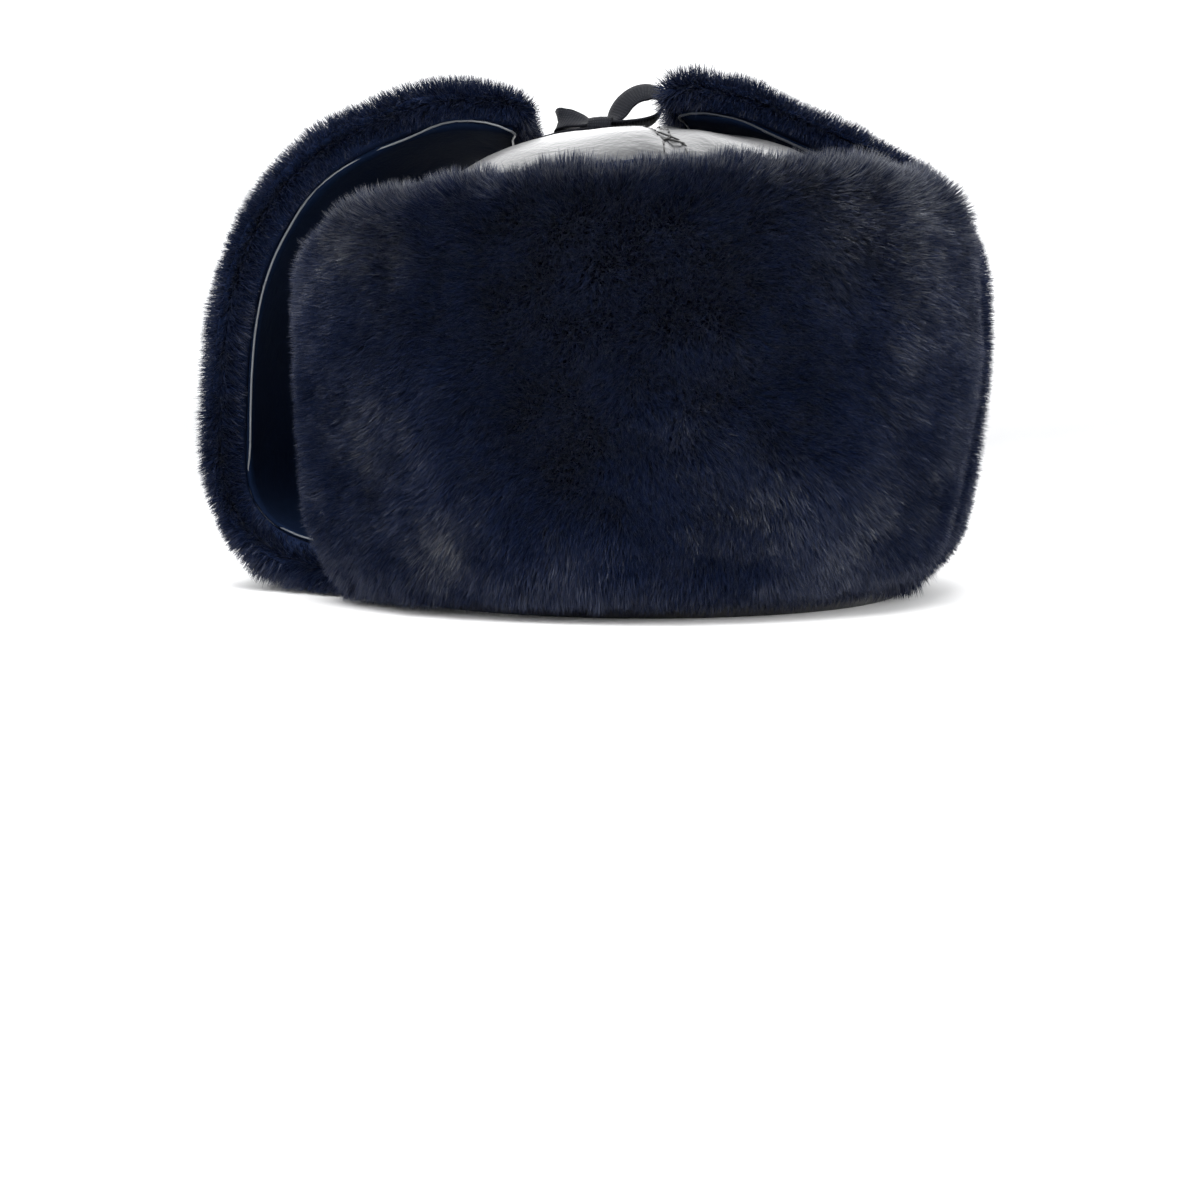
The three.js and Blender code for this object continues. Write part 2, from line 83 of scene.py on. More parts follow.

# %% [markdown]
# ## Working habits
# Operators act on what is selected, and loading leaves everything selected. So a small helper picks one
# object, and others carry out the steps that every piece shares: applying a modifier, shading it smooth, and
# hiding the solids that the piece stands for. A second set of helpers passes points and normals to arrays
# and back.

# %% Helpers for objects
def only(obj):
    """Select obj alone and make it the active object."""
    bpy.ops.object.select_all(action="DESELECT")
    obj.select_set(True)
    bpy.context.view_layer.objects.active = obj
    return obj


def in_edit(obj, action="DESELECT"):
    """Open obj in edit mode with nothing selected, or all of it."""
    only(obj)
    bpy.ops.object.mode_set(mode="EDIT")
    bpy.ops.mesh.select_all(action=action)


def done():
    bpy.ops.object.mode_set(mode="OBJECT")


def applied(obj, kind, **settings):
    """Add a modifier with these settings and apply it."""
    modifier = obj.modifiers.new(kind.title(), kind)
    for name, value in settings.items():
        setattr(modifier, name, value)
    only(obj)
    bpy.ops.object.modifier_apply(modifier=modifier.name)
    return obj


def smooth(obj):
    only(obj)
    bpy.ops.object.shade_smooth()
    return obj


def triangles(obj):
    return sum(len(face.vertices) - 2 for face in obj.data.polygons)


def finished(obj, material, slot, *nodes):
    """Give a piece its material and its place on the hat, and hide the solids that it stands for."""
    obj.data.materials.clear()
    obj.data.materials.append(material)
    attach(obj, root_body)
    if nodes:
        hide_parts(*nodes)
    print(f"{obj.name}: {triangles(obj)} triangles")
    return obj


def linked(name, data):
    """A new object in the scene with this mesh or light."""
    obj = bpy.data.objects.new(name, data)
    bpy.context.scene.collection.objects.link(obj)
    return obj


def tree_of(obj):
    """The surface of obj, to look up its nearest point or what a ray hits."""
    return BVHTree.FromObject(obj, bpy.context.evaluated_depsgraph_get())


# %% Helpers for points and directions
def read(items, name, width, kind=float):
    """One attribute of all the items, a row of an array for each."""
    values = np.empty(len(items) * width, kind)
    items.foreach_get(name, values)
    return values.reshape(-1, width)


def points_of(obj):
    return read(obj.data.vertices, "co", 3)


def normals_of(obj):
    return read(obj.data.vertex_normals, "vector", 3, np.float32).astype(float)


def place_points(obj, co):
    obj.data.vertices.foreach_set("co", np.asarray(co, float).ravel())
    obj.data.update()


def push_out(obj, amount):
    """Move each vertex of obj along its own normal."""
    place_points(obj, points_of(obj) + normals_of(obj) * amount[:, None])


def unit(vectors):
    return vectors / np.maximum(np.linalg.norm(vectors, axis=-1, keepdims=True), 1e-12)


def aside_from(vectors, directions):
    """The part of each vector that is at right angles to a direction of length 1."""
    return vectors - directions * (vectors * directions).sum(1, keepdims=True)


def smoothstep(value, low, high):
    share = np.clip((value - low) / (high - low), 0, 1)
    return share * share * (3 - 2 * share)


def waves(points, wavelength, seed, count=7):
    """A smooth field from about -1 to 1 that has no grid, for points in metres."""
    draw = np.random.default_rng(seed)
    heading = unit(draw.normal(size=(count, 3))) * (2 * math.pi / wavelength)
    phase = draw.uniform(0, 2 * math.pi, count)
    return np.sin(points @ heading.T + phase).sum(1) / math.sqrt(count)


def vector_waves(points, wavelength, seed):
    """Three such fields, from three seeds in a row, as the parts of a vector."""
    return np.column_stack([waves(points, wavelength, seed + axis) for axis in range(3)])


# %% [markdown]
# ## Materials
# Three finishes cover the hat. Black leather is glossy, with a fine pebbled grain and soft creases. The pile
# is blue-black: almost no light comes back from its roots, and in places the tips are painted lighter and
# greyer, a painted sheen that stands in for its highlights and is partly tip wear.
# The tape is a ribbed black weave. All the leathers share one grain, so it is a node group, built once and
# given its own fineness in each.

# %% Helpers for materials
def feed(tree, socket, value):
    """Set a socket to a plain value, or link it from another socket."""
    if isinstance(value, bpy.types.NodeSocket):
        tree.links.new(value, socket)
    else:
        socket.default_value = value


def node(tree, kind, **values):
    """A new node, its inputs and settings given by name. An input is a plain value or another socket."""
    made = tree.nodes.new(kind)
    for name, value in values.items():
        label = name.replace("_", " ")
        if label in made.inputs:
            feed(tree, made.inputs[label], value)
        else:
            setattr(made, name, value)
    return made


def math_of(tree, operation, first, second):
    """A Math node on two values or sockets."""
    made = tree.nodes.new("ShaderNodeMath")
    made.operation = operation
    feed(tree, made.inputs[0], first)
    feed(tree, made.inputs[1], second)
    return made.outputs[0]


def color_mix(tree, share, first, second, blend="MIX"):
    """A Mix node on two colors. Its share is input 0, and its colors are inputs 6 and 7."""
    made = tree.nodes.new("ShaderNodeMix")
    made.data_type = "RGBA"
    made.blend_type = blend
    for index, value in ((0, share), (6, first), (7, second)):
        feed(tree, made.inputs[index], value)
    return made.outputs[2]


def mottled(tree, scale, detail, low, high):
    """A value from low to high in soft patches, so many to a metre."""
    place = node(tree, "ShaderNodeTexCoord").outputs["Object"]
    noise = node(tree, "ShaderNodeTexNoise", Vector=place, Scale=scale, Detail=detail)
    return node(tree, "ShaderNodeMapRange", Value=noise.outputs[0], To_Min=low, To_Max=high).outputs[0]


def material_of(name, **values):
    """A Principled material with plain values set on the shader's own sockets."""
    made = bpy.data.materials.new(name)
    made.use_nodes = True
    shader = made.node_tree.nodes["Principled BSDF"]
    for label, value in values.items():
        shader.inputs[label.replace("_", " ")].default_value = value
    return made, made.node_tree, shader


# %% The leather grain group
crease_sharpness = 9.0
crease_share = 0.55
pebble_share = 0.35


def leather_grain():
    """Height and wear of leather: pebbles of about a millimetre, creases, and broad unevenness."""
    tree = bpy.data.node_groups.new("leather grain", "ShaderNodeTree")
    for label, way in (("Pebbles", "INPUT"), ("Height", "OUTPUT"), ("Wear", "OUTPUT")):
        tree.interface.new_socket(label, in_out=way, socket_type="NodeSocketFloat")
    source, sink = tree.nodes.new("NodeGroupInput"), tree.nodes.new("NodeGroupOutput")
    place = node(tree, "ShaderNodeTexCoord").outputs["Object"]
    pebbles = node(
        tree, "ShaderNodeTexVoronoi", Vector=place, Scale=source.outputs["Pebbles"],
        feature="SMOOTH_F1", Smoothness=0.6,
    )
    creases = node(
        tree, "ShaderNodeTexNoise", Vector=place, Scale=45.0, Detail=5.0, Roughness=0.55,
        Distortion=0.9,
    )
    broad = node(tree, "ShaderNodeTexNoise", Vector=place, Scale=16.0, Detail=3.0)
    ridge = math_of(tree, "ABSOLUTE", math_of(tree, "SUBTRACT", creases.outputs[0], 0.5), 0.0)
    fold = math_of(tree, "MINIMUM", math_of(tree, "MULTIPLY", ridge, crease_sharpness), 1.0)
    fine = math_of(tree, "MULTIPLY", pebbles.outputs["Distance"], pebble_share)
    height = math_of(tree, "ADD", math_of(tree, "MULTIPLY", fold, crease_share), fine)
    tree.links.new(height, sink.inputs["Height"])
    tree.links.new(broad.outputs[0], sink.inputs["Wear"])
    return tree


grain = leather_grain()
print("node group:", grain.name)

# %% Leather
def leather(name, color, roughness, gloss, coat, depth, pebbles):
    """Leather whose gloss varies a little about its mean roughness."""
    made, tree, shader = material_of(
        name, Base_Color=(*color, 1), Coat_Weight=coat, Coat_Roughness=0.24, Specular_IOR_Level=gloss,
    )
    surface = node(tree, "ShaderNodeGroup", node_tree=grain, Pebbles=pebbles)
    rough = node(
        tree, "ShaderNodeMapRange", Value=surface.outputs["Wear"],
        From_Min=0.3, From_Max=0.7, To_Min=roughness - 0.06, To_Max=roughness + 0.1,
    )
    bump = node(
        tree, "ShaderNodeBump", Height=surface.outputs["Height"], Strength=0.5, Distance=depth * MM,
    )
    tree.links.new(rough.outputs["Result"], shader.inputs["Roughness"])
    tree.links.new(bump.outputs["Normal"], shader.inputs["Normal"])
    return made


# Name, color, roughness, gloss, clear coat, depth of the grain in mm, and pebbles to a metre.
leathers = [
    ("crown leather", (0.01, 0.011, 0.013), 0.36, 0.7, 0.5, 0.7, 700),
    ("facing leather", (0.003, 0.0072, 0.021), 0.75, 0.03, 0.0, 0.4, 900),
    # The right flap's cord is light grey: a painted highlight for its glint, added to the real gloss.
    ("glint painted edge leather", (0.12, 0.13, 0.145), 0.25, 0.8, 0.3, 0.6, 500),
    ("dark edge leather", (0.016, 0.02, 0.03), 0.3, 0.5, 0.1, 0.6, 500),
]
crown_leather, facing_leather, glint_edge, dark_edge = [leather(*row) for row in leathers]
edge_leathers = {"front": dark_edge, "right": glint_edge, "left": dark_edge}

# %% Pile
root_color = (0.0034, 0.0086, 0.032, 1)
# The tips are mixed towards this grey by "tone": a painted sheen that stands in for highlights, and is partly
# tip wear.
sheen_tip_color = (0.155, 0.161, 0.175, 1)


def pile_material():
    """Navy-black pile. The attribute "tip" runs from 0 at the roots to 1, and "tone" is how far each hair's
    tip
    is painted grey: a painted sheen that stands in for highlights, and is partly tip wear."""
    made, tree, shader = material_of(
        "plush pile", Roughness=0.4, Specular_IOR_Level=0.3, Sheen_Weight=0.05, Sheen_Roughness=0.4,
        Sheen_Tint=(0.6, 0.68, 0.85, 1),
    )
    tip = node(tree, "ShaderNodeAttribute", attribute_name="tip").outputs["Fac"]
    tone = node(tree, "ShaderNodeAttribute", attribute_name="tone").outputs["Fac"]
    tip_sheen = math_of(tree, "MULTIPLY", math_of(tree, "POWER", tip, 1.4), tone)
    color = color_mix(tree, tip_sheen, root_color, sheen_tip_color)
    tree.links.new(color, shader.inputs["Base Color"])
    return made


pile = pile_material()

# %% Backing cloth, woven tape and thread
def backing_material():
    """The knitted cloth that the pile grows from, dark between the hairs."""
    made, tree, shader = material_of("plush backing", Roughness=0.9, Specular_IOR_Level=0.1)
    knit = mottled(tree, 700.0, 2.0, 0.6, 1.4)
    color = color_mix(tree, 1.0, (0.0036, 0.0085, 0.028, 1), knit, blend="MULTIPLY")
    tree.links.new(color, shader.inputs["Base Color"])
    return made


def tape_material():
    """Ribbed black weave. U of the piece's map runs across the tape and V along it, in metres."""
    made, tree, shader = material_of(
        "woven tape", Roughness=0.65, Specular_IOR_Level=0.1, Sheen_Weight=0.02, Sheen_Roughness=0.4,
    )
    across = node(tree, "ShaderNodeUVMap", uv_map="weave").outputs[0]
    ribs = node(
        tree, "ShaderNodeTexWave", Vector=across, Scale=330.0, bands_direction="Y", Distortion=0.4,
    )
    threads = node(tree, "ShaderNodeTexWave", Vector=across, Scale=420.0, bands_direction="X")
    weave = math_of(tree, "MULTIPLY", ribs.outputs["Fac"], threads.outputs["Fac"])
    color = color_mix(tree, weave, (0.003, 0.0035, 0.006, 1), (0.009, 0.0105, 0.015, 1))
    bump = node(tree, "ShaderNodeBump", Height=weave, Strength=0.6, Distance=0.0002)
    tree.links.new(color, shader.inputs["Base Color"])
    tree.links.new(bump.outputs["Normal"], shader.inputs["Normal"])
    return made


def thread_material():
    made, tree, shader = material_of("sewing thread", Roughness=0.5, Specular_IOR_Level=0.4)
    tree.links.new(mottled(tree, 2500.0, 1.0, 0.004, 0.02), shader.inputs["Base Color"])
    return made


backing = backing_material()
tape_weave = tape_material()
thread = thread_material()
print("materials:", [m.name for m in bpy.data.materials if m.users])

# %% [markdown]
# ## The crown
# The crown is a cap of four leather panels over padding. Each panel is a little fuller than the flat cut, so
# it puffs between the seams and puckers beside them. One could sculpt that by hand, but cloth does it by
# itself: the cap is drawn up ring by ring from a circle, its seams and rim are pinned, and the leather
# between them is blown up softly for a few frames. A cap on how far a point may move keeps it in its place.

# %% Draw the cap up from a circle
# Reach is a share of the rim's half size, height of the crown's height.
crown_rows = [
    (1.0, 0.0), (1.0, 0.1), (1.012, 0.25), (1.01, 0.45), (0.985, 0.61), (0.935, 0.735),
    (0.85, 0.83), (0.7, 0.9), (0.5, 0.95), (0.25, 0.985),
]
crown_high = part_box("crown")[1]
crown_height = crown_high.z
widest = max(reach for reach, _ in crown_rows)
half_width = crown_high.x / widest
half_length = crown_high.y / widest
crown_turn = math.radians(7)
crown_wall = 3 * MM
meridians = 72
panels = 4


def crown_reach(level):
    """How far out the crown goes at a share of its height, as a share of the rim's half size."""
    rows = crown_rows + [(0.0, 1.0)]
    return np.interp(level, [height for _, height in rows], [reach for reach, _ in rows])


def drawn_cap():
    bpy.ops.mesh.primitive_circle_add(vertices=meridians, radius=1, rotation=(0, 0, crown_turn))
    cap = bpy.context.active_object
    cap.name = "leather_crown"
    bpy.ops.object.transform_apply(rotation=True)
    in_edit(cap, "SELECT")
    bpy.ops.transform.resize(value=(half_width, half_length, 1))
    for (reach, height), (next_reach, next_height) in zip(crown_rows, crown_rows[1:]):
        rise = (next_height - height) * crown_height
        bpy.ops.mesh.extrude_region_move(TRANSFORM_OT_translate={"value": (0, 0, rise)})
        grow = next_reach / reach
        bpy.ops.transform.resize(value=(grow, grow, 1), center_override=(0, 0, next_height * crown_height))
    rise = (1 - crown_rows[-1][1]) * crown_height
    bpy.ops.mesh.extrude_region_move(TRANSFORM_OT_translate={"value": (0, 0, rise)})
    bpy.ops.mesh.merge(type="CENTER")
    bpy.ops.mesh.select_all(action="SELECT")
    bpy.ops.mesh.normals_make_consistent(inside=False)
    done()
    return cap


crown_cap = drawn_cap()
applied(crown_cap, "SUBSURF", levels=1, render_levels=1)
print("cap drawn with", len(crown_cap.data.vertices), "points")

# %% Mark the seams and sink them
seam_depth = 1.1 * MM
seam_width = 1.5 * MM
seam_pin = 1.6 * MM
pin_level = 0.5
# The first seam bends by an angle between two shares of the height.
seam_bend = math.radians(3.2)
bend_levels = (0.84, 0.96)


def seam_turn(level):
    """The angle of the first seam from the front. It bends a little on its way up."""
    return crown_turn - seam_bend * smoothstep(level, *bend_levels)


def seam_distance(co):
    """How far each point lies from the nearest seam, along the crown, and how high it is."""
    angle = np.arctan2(co[:, 0] / half_width, -co[:, 1] / half_length) - seam_turn(co[:, 2] / crown_height)
    step = 2 * math.pi / panels
    off = (angle + step / 2) % step - step / 2
    reach = np.hypot(co[:, 0], co[:, 1])
    return np.abs(np.sin(off)) * reach, co[:, 2] / crown_height


beside, level = seam_distance(points_of(crown_cap))
push_out(crown_cap, -seam_depth * np.exp(-((beside / seam_width) ** 2)) * smoothstep(level, 0.5, 0.7))
pinned = crown_cap.vertex_groups.new(name="pinned")
held = np.where((beside < seam_pin) | (level < pin_level))[0]
pinned.add([int(i) for i in held], 1.0, "REPLACE")
print("pinned", len(held), "points along the seams and low down")

# %% Puff the panels with cloth
puff_frames = 16
puff_most = 1.0 * MM
sink_most = 0.5 * MM


def puffed(obj):
    """Blow the panels up softly between their pinned seams, with a cap on how far a point moves."""
    before = points_of(obj)
    outward = normals_of(obj)
    cloth = obj.modifiers.new("Cloth", "CLOTH")
    settings = cloth.settings
    settings.quality = 6
    settings.mass = 0.4
    settings.tension_stiffness = 25
    settings.compression_stiffness = 25
    settings.bending_stiffness = 1.5
    settings.shrink_min = -0.035
    settings.use_pressure = True
    settings.uniform_pressure_force = 3.0
    settings.vertex_group_mass = "pinned"
    settings.effector_weights.gravity = 0
    cloth.point_cache.frame_start = 1
    cloth.point_cache.frame_end = puff_frames
    for number in range(1, puff_frames + 1):
        bpy.context.scene.frame_set(number)
    only(obj)
    bpy.ops.object.modifier_apply(modifier=cloth.name)
    bpy.context.scene.frame_set(1)
    shift = ((points_of(obj) - before) * outward).sum(1)
    print(f"cloth moved the leather {shift.min() / MM:.2f} to {shift.max() / MM:.2f} mm")
    shift = puff_most * np.tanh(shift / puff_most)
    place_points(obj, before + outward * np.maximum(shift, -sink_most)[:, None])


puffed(crown_cap)
applied(crown_cap, "SUBSURF", levels=1, render_levels=1)

# %% [markdown]
# Beside a seam the thread gathers the leather into short puckers at right angles to it. They are too fine for
# the cloth, so they are pressed in afterwards as a ripple that fades within a centimetre of the seam.

# %% Pucker the seams and give the leather its wall
pucker_depth = 0.28 * MM
pucker_length = 5.2 * MM
slack_depth = 0.35 * MM

co = points_of(crown_cap)
beside, level = seam_distance(co)
along = np.linalg.norm(co, axis=1)
ripple = np.sin(along * (2 * math.pi / pucker_length) + 2.2 * waves(co, 30 * MM, 3))
reach_out = smoothstep(beside, 1.2 * MM, 2.6 * MM) * (1 - smoothstep(beside, 4 * MM, 13 * MM))
slack = slack_depth * waves(co, 34 * MM, 5) * smoothstep(beside, 2 * MM, 14 * MM)
push_out(crown_cap, (pucker_depth * ripple * reach_out + slack) * smoothstep(level, 0.55, 0.7))
applied(crown_cap, "SOLIDIFY", thickness=crown_wall, offset=-1.0)
smooth(crown_cap)
finished(crown_cap, crown_leather, "leather", "crown")

# %% [markdown]
# ## Stitches on the crown
# Two rows of topstitching run beside each seam, and on the front seam a few hand stitches cross over it. A
# stitch is a short bar of thread that is sunk at both ends. It is modelled once, from a sphere drawn out
# long, and copied along the seams. All the copies are one mesh.

# %% One stitch
stitch_length = 3.9 * MM
stitch_thickness = 0.62 * MM
stitch_step = 4.0 * MM
row_offset = 1.25 * MM


def one_stitch():
    """A stitch along X with its lower half meant to sit in the leather. Returns points and faces."""
    bpy.ops.mesh.primitive_uv_sphere_add(segments=6, ring_count=5, radius=0.5, rotation=(0, math.pi / 2, 0))
    bar = bpy.context.active_object
    bpy.ops.object.transform_apply(rotation=True)
    in_edit(bar, "SELECT")
    bpy.ops.transform.resize(value=(1, stitch_thickness, stitch_thickness))
    done()
    points = points_of(bar)
    faces = [tuple(face.vertices) for face in bar.data.polygons]
    bpy.data.objects.remove(bar)
    return points, faces


stitch_points, stitch_faces = one_stitch()

# %% Copy the stitch along the seams
def sewn(name, spots):
    """One mesh with a stitch at each spot: (middle, direction, outward, length)."""
    points = []
    faces = []
    for middle, direction, outward, length in spots:
        forward = direction.normalized()
        sideways = outward.cross(forward).normalized()
        up = forward.cross(sideways)
        start = len(points)
        for x, y, z in stitch_points:
            points.append(middle + forward * (x * length) + sideways * y + up * z)
        faces += [tuple(start + i for i in face) for face in stitch_faces]
    mesh = bpy.data.meshes.new(name)
    mesh.from_pydata(points, [], faces)
    return smooth(linked(name, mesh))


crown_tree = tree_of(crown_cap)
sewn_levels = (0.55, 0.992)


def on_crown(angle, level, sideways=0.0):
    """The point of the finished leather at an angle from the front and a share of the height."""
    flat = Vector((half_width * math.sin(angle), -half_length * math.cos(angle), 0)) * crown_reach(level)
    aside = Vector((half_width * math.cos(angle), half_length * math.sin(angle), 0)).normalized()
    guess = flat + Vector((0, 0, level * crown_height)) + aside * sideways
    place, outward, _, _ = crown_tree.find_nearest(guess * 1.02)
    return place, outward


def seam_levels(first, last, step):
    """Shares of the height that lie a step apart along the crown's outline."""
    fine = np.linspace(first, last, 400)
    reach = crown_reach(fine)
    run = np.hypot(np.diff(reach) * (half_width + half_length) / 2, np.diff(fine) * crown_height)
    length = np.concatenate([[0], np.cumsum(run)])
    return np.interp(np.arange(0, length[-1], step), length, fine)


topstitches = []
levels = seam_levels(*sewn_levels, stitch_step)
for panel in range(panels):
    quarter = panel * 2 * math.pi / panels
    for side in (-1, 1):
        row = [on_crown(quarter + seam_turn(level), level, side * row_offset) for level in levels]
        for (here, outward), (ahead, _) in zip(row, row[1:]):
            topstitches.append((here, ahead - here, outward, stitch_length))
finished(sewn("crown_stitches", topstitches), thread, "leather")

# %% The hand stitches that cross the front seam
# Each thread from a place to another: how far down the seam, and how far to the hat's left side, in mm.
threads = [((3.5, -1.5), (9.5, 1.7)), ((6.0, 1.7), (11.0, -1.4)), ((8.5, -0.6), (12.5, 2.4))]
thread_start = 0.902
thread_lift = 0.25 * MM
seam_step = 0.25 * MM
seam_run = seam_levels(0.7, thread_start, seam_step)[::-1]


def beside_seam(down, aside):
    level = seam_run[min(round(down * MM / seam_step), len(seam_run) - 1)]
    return on_crown(seam_turn(level), level, aside * MM)


crossings = []
for first, last in threads:
    (start, outward), (stop, _) = beside_seam(*first), beside_seam(*last)
    middle = (start + stop) / 2 + outward * thread_lift
    crossings.append((middle, stop - start, outward, (stop - start).length))
finished(sewn("crown_cross_stitches", crossings), thread, "leather")

# %% [markdown]
# ## The facings
# The inner faces of the flaps are covered with leather up to a seam near the edge. Their solids have the
# right form but flat facets, so each is copied, its triangles are joined back into quads, and a subdivision
# rounds it while creases keep its cut edges sharp. Along the seam the leather is turned in over a cord, which
# catches the light as one bright line. On the right flap the cord's leather is also painted light grey, a
# painted highlight added to its real gloss. That edge is the border loop of the facing, turned into a round
# curve.

# %% Copy a solid into a piece that can be worked on
quad_angle = math.radians(60)


def copy_of(node_name, name):
    """A separate copy of a solid's mesh, merged and made of quads."""
    obj = only(linked(name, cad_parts[node_name].data.copy()))
    bpy.ops.mesh.customdata_custom_splitnormals_clear()
    in_edit(obj, "SELECT")
    bpy.ops.mesh.remove_doubles(threshold=0.01 * MM)
    bpy.ops.mesh.tris_convert_to_quads(face_threshold=quad_angle, shape_threshold=quad_angle)
    bpy.ops.mesh.normals_make_consistent(inside=False)
    done()
    return obj


plush_nodes = {"front": "front_flap", "right": "ear_flap_right", "left": "ear_flap_left"}
facing_nodes = {"front": "front_facing", "right": "ear_facing_right", "left": "ear_facing_left"}
flap_names = list(plush_nodes)
plush_trees = {flap: tree_of(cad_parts[plush_nodes[flap]]) for flap in flap_names}
print("flaps:", flap_names)

# %% Facings and their corded edges
cord_radius = 0.36 * MM
cut_angle = math.radians(50)
outer_side = 0.9 * MM
facing_slack = 0.25 * MM


def corded_edge(facing, flap):
    """The border of a facing, on the side away from the plush, as a round cord."""
    in_edit(facing)
    bpy.ops.mesh.select_mode(type="EDGE")
    bpy.ops.mesh.edges_select_sharp(sharpness=cut_angle)
    done()
    away = [plush_trees[flap].find_nearest(v.co)[3] > outer_side for v in facing.data.vertices]
    for edge in facing.data.edges:
        edge.select = edge.select and all(away[i] for i in edge.vertices)
    only(facing)
    bpy.ops.object.mode_set(mode="EDIT")
    bpy.ops.mesh.duplicate()
    bpy.ops.mesh.separate(type="SELECTED")
    done()
    cord = [o for o in bpy.context.selected_objects if o != facing][0]
    cord.name = f"corded_edge_{flap}"
    only(cord)
    bpy.ops.object.convert(target="CURVE")
    cord.data.splines.active = cord.data.splines[0]
    bpy.ops.object.mode_set(mode="EDIT")
    bpy.ops.curve.select_all(action="SELECT")
    bpy.ops.curve.spline_type_set(type="BEZIER")
    bpy.ops.curve.handle_type_set(type="AUTOMATIC")
    done()
    cord.data.resolution_u = 4
    cord.data.bevel_depth = cord_radius
    cord.data.bevel_resolution = 1
    bpy.ops.object.convert(target="MESH")
    return smooth(cord)


def faced(flap):
    """The leather facing of a flap, rounded, with its corded edge."""
    facing = copy_of(facing_nodes[flap], f"leather_facing_{flap}")
    edge = corded_edge(facing, flap)
    in_edit(facing)
    bpy.ops.mesh.select_mode(type="EDGE")
    bpy.ops.mesh.edges_select_sharp(sharpness=cut_angle)
    bpy.ops.transform.edge_crease(value=1)
    done()
    applied(facing, "SUBSURF", levels=1, render_levels=1)
    push_out(facing, facing_slack * waves(points_of(facing), 22 * MM, 11))
    smooth(facing)
    finished(facing, facing_leather, "leather", facing_nodes[flap])
    finished(edge, edge_leathers[flap], "leather")
    return facing


facings = {flap: faced(flap) for flap in flap_names}

# %% Say what each facing was cut from
# A piece with rounded corners needs a rectangle this much larger than itself.
cut_share = 1.35
least_cut = 50 * MM


def flat_size(obj):
    """The size of the rectangle that a facing was cut from, and its own area, laid flat."""
    area = sum(face.area for face in obj.data.polygons) / 2
    co = points_of(obj)
    width = np.hypot(*(co.max(0) - co.min(0))[:2])
    return width, max(area / width * cut_share, least_cut), area


for flap in flap_names:
    width, length, area = flat_size(facings[flap])
    print(f"{flap} facing is cut from {width:.3f} x {length:.3f} m, {area:.4f} square metres of leather")

# %% [markdown]
# ## The pile
# The flaps are plush: a cloth from which hairs stand up, about a centimetre deep. Real hair curves would show
# well but leave nothing in the exported model, and a bump alone has a hard outline. So each hair is a thin
# pointed blade with a ridge along it, rooted in a dark backing, and the blades of a flap are joined in one to
# three meshes. What makes them read as plush is how they lean: all a little downwards, in slow swirls, with
# their tips drawn together in small locks.

# %% The form that the pile grows from
thickest = 50 * MM
normal_rounds = 5


def thickness_of(tree, co, outward):
    """How thick a piece is under each point, measured straight in."""
    found = []
    for place, out in zip(co - outward * 0.4 * MM, outward):
        hit = tree.ray_cast(Vector(place), Vector(-out), thickest)
        found.append(hit[3] if hit[0] is not None else 1 * MM)
    return np.array(found)


def plush_form(flap):
    """A flap's outer form: its mesh, points, smoothed normals, thickness, distance from the facing, and how
    far the pile is open."""
    form = copy_of(plush_nodes[flap], f"plush_backing_{flap}")
    applied(form, "SUBSURF", levels=1, render_levels=1)
    co = points_of(form)
    outward = normals_of(form)
    room = thickness_of(tree_of(form), co, outward)
    one, other = read(form.data.edges, "vertices", 2, np.int32).T
    for _ in range(normal_rounds):
        total = outward.copy()
        np.add.at(total, one, outward[other])
        np.add.at(total, other, outward[one])
        outward = unit(total)
    facing = tree_of(facings[flap])
    bare = np.array([facing.find_nearest(Vector(place))[3] for place in co])
    return SimpleNamespace(
        backing=form, co=co, outward=outward, room=room, bare=bare,
        open_share=smoothstep(bare, 1.6 * MM, 6.5 * MM),
    )


forms = {flap: plush_form(flap) for flap in flap_names}
print("pile forms:", {flap: len(form.co) for flap, form in forms.items()})

# %% Where the hairs stand
hair_depth = 6.0 * MM
hair_reach = 1.9 * MM
hair_radius = 0.3 * MM
beside_leather = 1.7 * MM
bottom_gap = 0.2 * MM


def inside_crown(points, margin):
    """Which points lie in the crown's outer form or within a margin of it."""
    level = np.clip((points[:, 2] - margin) / crown_height, 0, 1)
    wide = np.hypot(points[:, 0] / half_width, points[:, 1] / half_length)
    return (wide < crown_reach(level) + margin / half_width) & (points[:, 2] < crown_height + margin)


def spots_on(form, count, draw, front_share):
    """Random spots where pile grows, as a function that gives a form's values there."""
    mesh = form.backing.data
    mesh.calc_loop_triangles()
    faces = read(mesh.loop_triangles, "vertices", 3, np.int32)
    a, b, c = (form.co[faces[:, i]] for i in range(3))
    area = np.linalg.norm(np.cross(b - a, c - a), axis=1) / 2
    facing_out = form.outward[faces].mean(1)
    weight = area * (1 + (front_share - 1) * smoothstep(-facing_out[:, 1], 0.1, 0.7))
    middle = form.co[faces].mean(1)
    near_leather = form.bare[faces].mean(1) < beside_leather
    flat_under = (facing_out[:, 2] < -0.92) & (middle[:, 2] < 1.0 * MM)
    weight = np.where(near_leather | flat_under | inside_crown(middle, 1.0 * MM), 0, weight)
    chosen = faces[draw.choice(len(faces), count, p=weight / weight.sum())]
    share = draw.random((count, 2))
    share = np.where(share.sum(1, keepdims=True) > 1, 1 - share, share)
    parts = np.column_stack([1 - share.sum(1), share])

    def at(values):
        return np.einsum("nk,nk...->n...", parts, values[chosen])

    return at


# %% How the hairs lean
# Leans are shares of a hair's length.
down_lean = 0.3
swirl_size, swirl_lean = 46 * MM, 0.17
ruffle_size, ruffle_lean = 13 * MM, 0.13
stray_lean = 0.16
# The ear flaps' pile is fluffier: it leans away from the hat's middle.
ear_centre = np.array([0.0, 0.0, 60 * MM])
ear_lean = 0.3
ear_stray = 0.2
# How much the tips are painted grey everywhere and along the front flap's upper edge, a painted sheen and
# highlight, and how far up from the floor that paint is cut back, a painted shade.
even_sheen = 0.02
fringe_sheen = 0.45
painted_shade_height = 16 * MM
